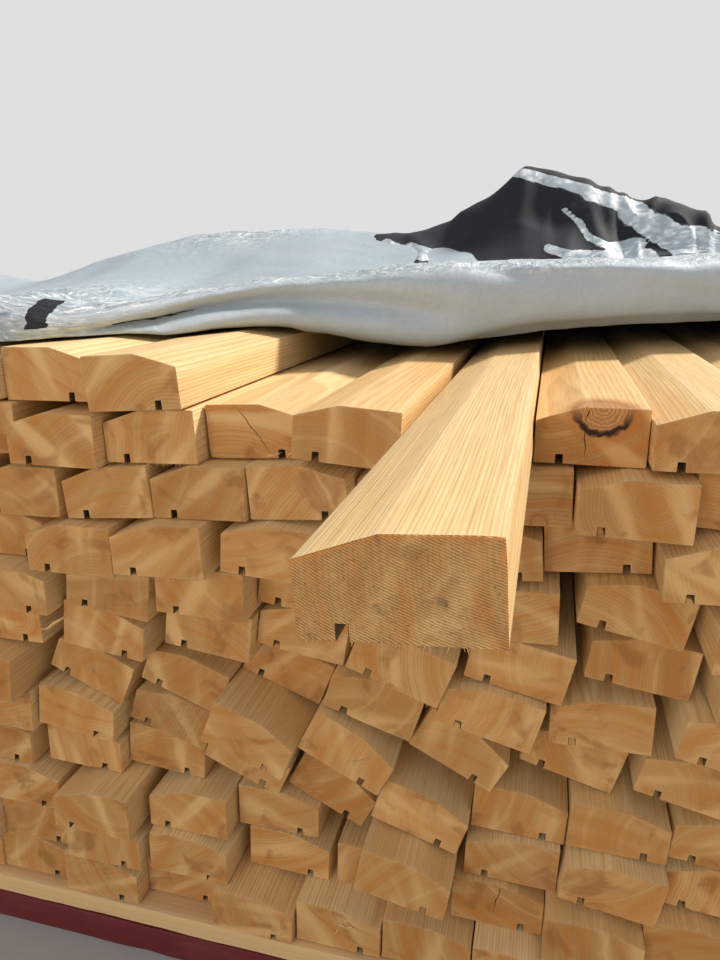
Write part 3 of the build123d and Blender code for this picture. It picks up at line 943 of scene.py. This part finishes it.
# The wrap, read across the bundle (millimetres): the place, how far back the rolled front edge lies, the
# underside and the top of that roll, how far back the ridge of the heap lies, and its height
wrap_lines = np.array([
    (-640, 60, 500, 514, 410, 563), (-590, 50, 505, 520, 415, 560), (-534, 40, 505, 524, 422, 553),
    (-480, 34, 505, 528, 432, 564), (-440, 30, 505, 531, 436, 575), (-400, 26, 505, 536, 440, 589),
    (-360, 22, 507, 541, 450, 602), (-325, 20, 510, 546, 462, 609), (-285, 20, 514, 550, 472, 613),
    (-255, 24, 516, 547, 480, 615), (-238, 46, 517, 540, 482, 616), (-225, 80, 518, 538, 484, 617),
    (-206, 104, 518, 547, 487, 619), (-186, 136, 518, 551, 490, 620), (-160, 168, 514, 557, 494, 620),
    (-141, 184, 510, 562, 497, 619), (-120, 205, 520, 566, 500, 617), (-92, 225, 517, 568, 500, 615),
    (-55, 240, 510, 572, 500, 612), (0, 254, 504, 578, 502, 609), (95, 298, 517, 583, 505, 612),
    (165, 328, 523, 586, 508, 614), (205, 345, 526, 588, 510, 610), (290, 388, 529, 592, 515, 604),
    (380, 396, 526, 578, 520, 596), (470, 392, 518, 556, 520, 584), (560, 380, 508, 534, 515, 566),
    (640, 360, 500, 518, 505, 545), (700, 350, 498, 512, 500, 535)])
wrap_x, roll_back, roll_low, roll_high, ridge_back, ridge_high = wrap_lines.T
wrap_spans = [4, 4, 5, 5, 5, 9, 20, 18, 12, 14, 16, 4, 70, 3, 5, 8]
wrap_column = 9 * mm
wrap_drop_side, wrap_drop_back = 105 * mm, 88 * mm
wrap_thick = 1.4 * mm
sheet_lift = 2.2 * mm


def blur_weights(half, spread):
    weights = np.exp(-0.5 * (np.arange(-half, half + 1) / spread) ** 2)
    return weights / weights.sum()


def across_wrap(values, x):
    """A reading across the wrap, smoothed, in metres."""
    fine = np.arange(wrap_x[0], wrap_x[-1], 4.0)
    read = np.interp(fine, wrap_x, values)
    read = np.convolve(np.pad(read, 14, mode="edge"), blur_weights(14, 3.5), mode="valid")
    return np.interp(x, fine * mm, read) * mm


def highest_within(tops, window):
    return np.max([np.roll(tops, k) for k in range(-window, window + 1)], axis=0)


def held_heights(x, low_x, high_x):
    """Where the boards hold the sheet up: its height at rest across them, and the least it can have."""
    fine = np.arange(low_x - 0.1, high_x + 0.1, 2 * mm)
    tops = board_tops(fine)
    # Past the outermost boards of the full rows the sheet stays level
    held_up = np.nonzero(tops > 0.45)[0]
    tops[:held_up[0]], tops[held_up[-1]:] = tops[held_up[0]], tops[held_up[-1]]
    hull = np.maximum(np.convolve(highest_within(tops, 14), blur_weights(20, 8), mode="same"), tops)
    nearby = highest_within(tops, 6)
    return np.interp(x, fine, hull) + sheet_lift, np.interp(x, fine, nearby) + sheet_lift


def sheet_run(x, front, back, flat, under):
    """The path of the sheet at each place across, with how far back its front edge and its ridge are."""
    start = front + across_wrap(roll_back, x)
    low_z = np.maximum(across_wrap(roll_low, x), under)
    high_z = np.maximum(across_wrap(roll_high, x), low_z + 9 * mm)
    ridge_y, ridge_z = front + across_wrap(ridge_back, x), across_wrap(ridge_high, x)
    ridge_z = np.maximum(ridge_z, flat + 6 * mm)
    rise, fall = high_z - low_z, ridge_z - flat
    valley = start + 78 * mm
    spread = np.clip(rise / (50 * mm), 0.25, 1)
    climb = 0.28 + 0.34 * eased_step(x, -0.30, -0.12)
    knots_at = np.stack([np.column_stack(pair) for pair in (
        (start + 80 * mm * spread, low_z + 6 * mm),
        (start + 34 * mm * spread, low_z + 1 * mm),
        (start + 6 * mm * spread, low_z + 0.13 * rise),
        (start - 4 * mm * spread, low_z + 0.48 * rise),
        (start + 2 * mm * spread, low_z + 0.9 * rise),
        (start + 16 * mm * spread, high_z + 1 * mm),
        (valley, high_z - 2 * mm + 0.05 * (ridge_z - high_z)),
        ((valley + ridge_y) / 2, high_z + climb * (ridge_z - high_z)),
        (ridge_y, ridge_z),
        (ridge_y + 110 * mm, flat + 0.72 * fall),
        (ridge_y + 250 * mm, flat + 0.25 * fall),
        (ridge_y + 430 * mm, flat + 4 * mm),
        (ridge_y + 520 * mm, flat),
        (np.full(len(x), back - 110 * mm), flat),
        (np.full(len(x), back - 40 * mm), flat),
        (np.full(len(x), back), flat - 12 * mm),
        (np.full(len(x), back + 1 * mm), flat - wrap_drop_back),
    )], axis=1)
    return start, ridge_y, smooth_path(knots_at, wrap_spans)


def wrap_main():
    """The sheet from its rolled front edge, over the heap and back along the bundle to the far drop."""
    low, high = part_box("wrap")
    left, right = low.x + 3 * mm, high.x - 3 * mm
    front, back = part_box("row_06_boards")[0].y, high.y - 4 * mm
    reach = np.arange(-wrap_drop_side, right - left + wrap_drop_side, wrap_column)
    x = np.clip(left + reach, left, right)
    flat, under = held_heights(x, low.x, high.x)
    start, ridge_y, path = sheet_run(x, front, back, flat, under)
    grid = np.concatenate([np.broadcast_to(x[:, None, None], path.shape[:2] + (1,)), path], axis=2)

    # Rows of the grid: the roll's foot, brow and top, the valley, halfway up, the ridge, the heap's far
    # side, its end, and the edge over the back drop
    station = np.arange(grid.shape[1])[None, :]
    foot_row, brow_row, top_row, valley_row, half_row, ridge_row, far_row, flat_row, back_row = (
        np.cumsum(wrap_spans)[[1, 3, 4, 5, 6, 7, 8, 10, 13]])
    on_roll = 1 - eased_step(station, top_row, valley_row)
    on_heap = 1 - eased_step(station, far_row, flat_row)
    torn = bell(x, -0.285, 0.055)[:, None] * (1 - eased_step(station, valley_row, half_row))
    right_side = eased_step(x, 0.18, 0.30)[:, None] * on_heap
    crest = bell(station, top_row, 3.0)
    brow = bell(station, ridge_row - 3, 5.0) * bell(x, -0.24, 0.09)[:, None]
    long_folds = creases(grid, (0.22, 1, 1), 60 * mm, 2.0)
    wide = creases(grid, (1, 0.7, 1), 120 * mm, 4.0)
    fine_folds = creases(grid, (1, 1, 1), 30 * mm, 6.0)
    crisp = creases(grid, (0.7, 1, 1), 17 * mm, 8.0)
    slack = creases(grid, (1, 0.35, 1), 210 * mm, 9.0)

    # Hollows between the layers of the roll: one at the left, one that runs down to the right
    share = (station - foot_row) / (top_row - foot_row)
    first = np.interp(x, [-0.22, -0.17, -0.10, -0.03, 0.04], [0.10, 0.42, 0.48, 0.40, 0.25])[:, None]
    second = np.interp(x, [0.06, 0.30, 0.50], [0.90, 0.42, 0.20])[:, None]
    left_part = (eased_step(x, -0.24, -0.19) * (1 - eased_step(x, -0.02, 0.06)))[:, None]
    right_part = (eased_step(x, 0.03, 0.10) * (1 - eased_step(x, 0.42, 0.55)))[:, None]
    below_second = (1 - eased_step(share, second - 0.16, second + 0.04)) * (share > -0.2)
    hollow = (15 * mm * left_part * bell(share, first, 0.14) * (share > -0.3)
              - 3 * mm * left_part * bell(share, first - 0.34, 0.16) + 6 * mm * right_part * below_second)
    amount = (1.6 * mm * on_roll * long_folds + 3.5 * mm * on_heap * (1 - on_roll) * wide
              + (4.5 * torn + 1.6 * crest + 2.5 * brow) * mm * crisp + 0.8 * mm * on_heap * fine_folds
              + 4 * mm * right_side * (1 - on_roll) * fine_folds - hollow
              + 2.5 * mm * (1 - on_heap) * slack + 0.7 * mm * (1 - on_heap) * fine_folds)
    grid = pushed_out(grid, amount)
    grid[..., 2] = np.maximum(grid[..., 2], np.where(station < back_row, under[:, None], -1))

    # The drops at the long sides
    hang = np.maximum(np.maximum(-reach, reach - (right - left)), 0)[:, None]
    behind = eased_step(grid[..., 1], start[:, None] + 40 * mm, ridge_y[:, None] + 60 * mm)
    way = np.sign(reach - (right - left) / 2)[:, None]
    flutter = creases(grid, (1, 1, 0.2), 150 * mm, 12.0)
    dropped = hang * (0.12 + 0.88 * behind)
    grid[..., 2] -= dropped
    grid[..., 0] += way * (np.minimum(hang, 8 * mm) * 0.4 + (0.8 + flutter) * dropped * 0.04)

    # Black lining shows at the roll's left end, and a thin black line deep in the left hollow is painted
    # shade of that fold
    spot = bell(x, -0.246, 0.0045)[:, None] * bell(station, brow_row + 1, 6.0)
    fold_shade_line = bell(x, -0.190, 0.034)[:, None] * bell(share, first, 0.065)
    lining_and_fold_shade = np.maximum(np.where(spot > 0.3, 1.6, -0.6), 1.9 * fold_shade_line - 0.6)
    # Where the sheet is crumpled: more bump, and painted crinkle highlights and painted shade
    rumpled_and_highlit = np.clip(0.06 + torn + 0.9 * crest + brow + 0.4 * right_side * (1 - on_roll), 0, 1)
    return grid, lining_and_fold_shade, rumpled_and_highlit


# The black corner that is thrown back over the heap (millimetres)
flap_x = np.array([-95, -50, 0, 40, 78, 118, 185, 252, 303, 345])
flap_high = np.array([613, 615, 628, 656, 684, 678, 661, 646, 616, 594])
flap_columns, flap_spans = 104, [20, 20, 12, 12]
# Where the flap shows white, partly its white side and partly painted glints on the black side: from and
# to (across, up), and half the width there (millimetres)
white_side_and_glints = [
    (70, 682, 150, 661, 6), (150, 658, 205, 644, 8), (195, 640, 262, 606, 13), (208, 626, 262, 594, 9),
    (224, 618, 290, 592, 11), (124, 641, 142, 627, 2.4), (142, 627, 152, 612, 3.4),
    (152, 612, 172, 603, 3.6), (112, 600, 144, 589, 4.5), (144, 590, 216, 592, 9),
    (176, 600, 206, 606, 7), (-70, 604, -30, 588, 6), (-40, 598, -14, 592, 7), (260, 604, 350, 580, 22)]


def wrap_flap():
    """The turned-over corner: up from behind the roll to the ridge and down over the back of the heap."""
    share = np.linspace(0, 1, flap_columns)
    x = (-44 + share * 344) * mm
    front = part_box("row_06_boards")[0].y
    top_x = (-88 + share * 430) * mm
    top_z = np.interp(top_x, flap_x * mm, flap_high) * mm
    foot_y, foot_z = front + across_wrap(roll_back, x) + 70 * mm, across_wrap(roll_high, x) - 4 * mm
    ridge_y = front + across_wrap(ridge_back, top_x) - 22 * mm
    behind_z = across_wrap(ridge_high, top_x)
    knots_at = np.stack([np.column_stack(pair) for pair in (
        (foot_y, foot_z),
        (foot_y + 0.5 * (ridge_y - foot_y), foot_z + 0.42 * (top_z - foot_z)),
        (ridge_y, top_z),
        (ridge_y + 34 * mm, top_z - 4 * mm),
        (ridge_y + 105 * mm, np.minimum(top_z - 0.45 * (top_z - behind_z), behind_z + 26 * mm)),
    )], axis=1)
    path = smooth_path(knots_at, flap_spans)
    rows = path.shape[1]
    lean = eased_step(np.arange(rows) / rows, 0.0, 0.5)[None, :]
    across = x[:, None] * (1 - lean) + top_x[:, None] * lean
    grid = np.concatenate([across[..., None], path], axis=2)
    big = creases(grid, (1.0, 0.6, 0.6), 62 * mm, 21.0)
    small = creases(grid, (1.0, 0.5, 0.5), 24 * mm, 23.0)
    rumpled_and_highlit = eased_step(across, 0.10, 0.24)
    freed = eased_step(np.arange(rows)[None, :], 0, 7)
    grid = pushed_out(grid, freed * (5 * mm * big + (1.2 * mm + 4 * mm * rumpled_and_highlit) * small))
    seen = grid[..., [0, 2]].reshape(-1, 2)
    # White where the white side shows and where glints are painted on the black side
    white = np.zeros(len(seen))
    for x0, z0, x1, z1, half in white_side_and_glints:
        ends = np.array([(x0, z0), (x1, z1)]) * mm
        white = np.maximum(white, np.clip(1.25 - 0.75 * distance_to(seen, ends) / (half * mm), 0, 1))
    white = white.reshape(grid.shape[:2])
    # The last mask gives crumpling, with painted crinkle highlights and shade
    return grid, 1.5 - 2.0 * white, np.clip(0.25 + white + 0.4 * rumpled_and_highlit, 0, 1)


def make_wrap():
    """Both runs of the sheet in one piece, thickened inwards, with the black lining as its inner face."""
    mesh = bpy.data.meshes.new("woven_wrap")
    points, faces, uvs, first = [], [], [], 0
    shown = {"lining_and_fold_shade": [], "rumpled_and_highlit": []}
    for grid, turned_out, rumpled_and_highlit in (wrap_main(), wrap_flap()):
        columns, rows = grid.shape[:2]
        faces.extend(tuple(first + i for i in face) for face in grid_faces(columns, rows))
        points.append(grid.reshape(-1, 3))
        uvs.append(sheet_uv(grid).reshape(-1, 2) + first)
        shown["lining_and_fold_shade"].append(turned_out.ravel())
        shown["rumpled_and_highlit"].append(rumpled_and_highlit.ravel())
        first += columns * rows
    mesh.from_pydata(np.vstack(points).tolist(), [], faces)
    for name, values in shown.items():
        layer = mesh.attributes.new(name, "FLOAT", "POINT")
        layer.data.foreach_set("value", np.concatenate(values).astype(np.float32))
    corners = np.zeros(len(mesh.loops), np.int32)
    mesh.loops.foreach_get("vertex_index", corners)
    uv = mesh.uv_layers.new(name="sheet")
    uv.data.foreach_set("uv", np.vstack(uvs)[corners].astype(np.float32).ravel())
    mesh.materials.append(wrap_cloth())
    mesh.materials.append(wrap_lining())
    mesh.shade_smooth()
    piece = add_object("woven_wrap", mesh)
    wall = piece.modifiers.new("thickness", "SOLIDIFY")
    wall.thickness, wall.offset, wall.material_offset = wrap_thick, -1, 1
    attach(piece, body)
    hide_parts("wrap")


make_wrap()

# The camera, at the height and slant of the photograph
photo_centre = np.array([360.0, 480.0])
focal_px = 735.0
long_edges_vanish = np.array([555.0, 265.0])
rows_vanish = np.array([-2900.0, 217.0])
long_side_px, sensor = 960.0, 36.0
camera_place = Vector((0.120, -2.278, 0.583))


def make_camera():
    """The long edges and the rows give the camera's turn, by where they vanish in the picture."""
    ahead = np.array([*(long_edges_vanish - photo_centre), focal_px])
    ahead /= np.linalg.norm(ahead)
    right = -np.array([*(rows_vanish - photo_centre), focal_px])
    right -= (right @ ahead) * ahead
    right /= np.linalg.norm(right)
    turned = np.stack([right, ahead, np.cross(right, ahead)], axis=1)
    lens = bpy.data.cameras.new("camera")
    lens.lens = sensor * focal_px / long_side_px
    lens.sensor_width = sensor
    lens.clip_start, lens.clip_end = 0.01, 100
    camera = add_object("camera", lens)
    camera.matrix_world = Matrix.Translation(camera_place) @ Matrix(
        [[turned[0][i], -turned[1][i], -turned[2][i]] for i in range(3)]).to_4x4()
    bpy.context.scene.camera = camera


make_camera()


def add_lamp(name, kind, place, aim, power, colour, **sizes):
    lamp = bpy.data.lights.new(name, kind)
    lamp.energy, lamp.color = power, colour
    for key, value in sizes.items():
        setattr(lamp, key, value)
    lit = add_object(name, lamp)
    lit.location = place
    lit.rotation_euler = (Vector(place) - Vector(aim)).to_track_quat("Z", "Y").to_euler()


add_lamp("key", "SUN", (2.3, 0.5, 3.2), (0, -1.7, 0.5), 4.8, (1.0, 0.955, 0.88), angle=0.14)
add_lamp("fill", "AREA", (-0.8, -5.2, 1.3), (0, -1.8, 0.2), 48, (1.0, 0.98, 0.95), size=1.8)


def make_stage():
    """A pale floor, a pale backdrop that only the camera sees, and even light from all round."""
    mesh = bpy.data.meshes.new("floor")
    reach = 14.0
    mesh.from_pydata([(-reach, -reach, 0), (reach, -reach, 0), (reach, reach, 0), (-reach, reach, 0)], [],
                     [(0, 1, 2, 3)])
    s = Shader("floor")
    speckle = s.noise(s.node("TexCoord", out=3), 60.0, 4.0)
    mesh.materials.append(s.finish(s.mix(speckle, "a9a7a3", "b1afab"), None, 0.9))
    floor = add_object("floor", mesh)
    world = bpy.data.worlds.new("studio")
    bpy.context.scene.world = world
    world.use_nodes = True
    nodes, links = world.node_tree.nodes, world.node_tree.links
    shown, light = nodes["Background"], nodes.new("ShaderNodeBackground")
    shown.inputs[0].default_value = paint("dfe0e0")
    light.inputs[0].default_value = (0.95, 0.96, 1.0, 1)
    light.inputs[1].default_value = 0.44
    seen, rays = nodes.new("ShaderNodeMixShader"), nodes.new("ShaderNodeLightPath")
    links.new(rays.outputs["Is Camera Ray"], seen.inputs[0])
    links.new(light.outputs[0], seen.inputs[1])
    links.new(shown.outputs[0], seen.inputs[2])
    links.new(seen.outputs[0], nodes["World Output"].inputs[0])


make_stage()
bpy.context.scene.view_settings.view_transform = "Standard"
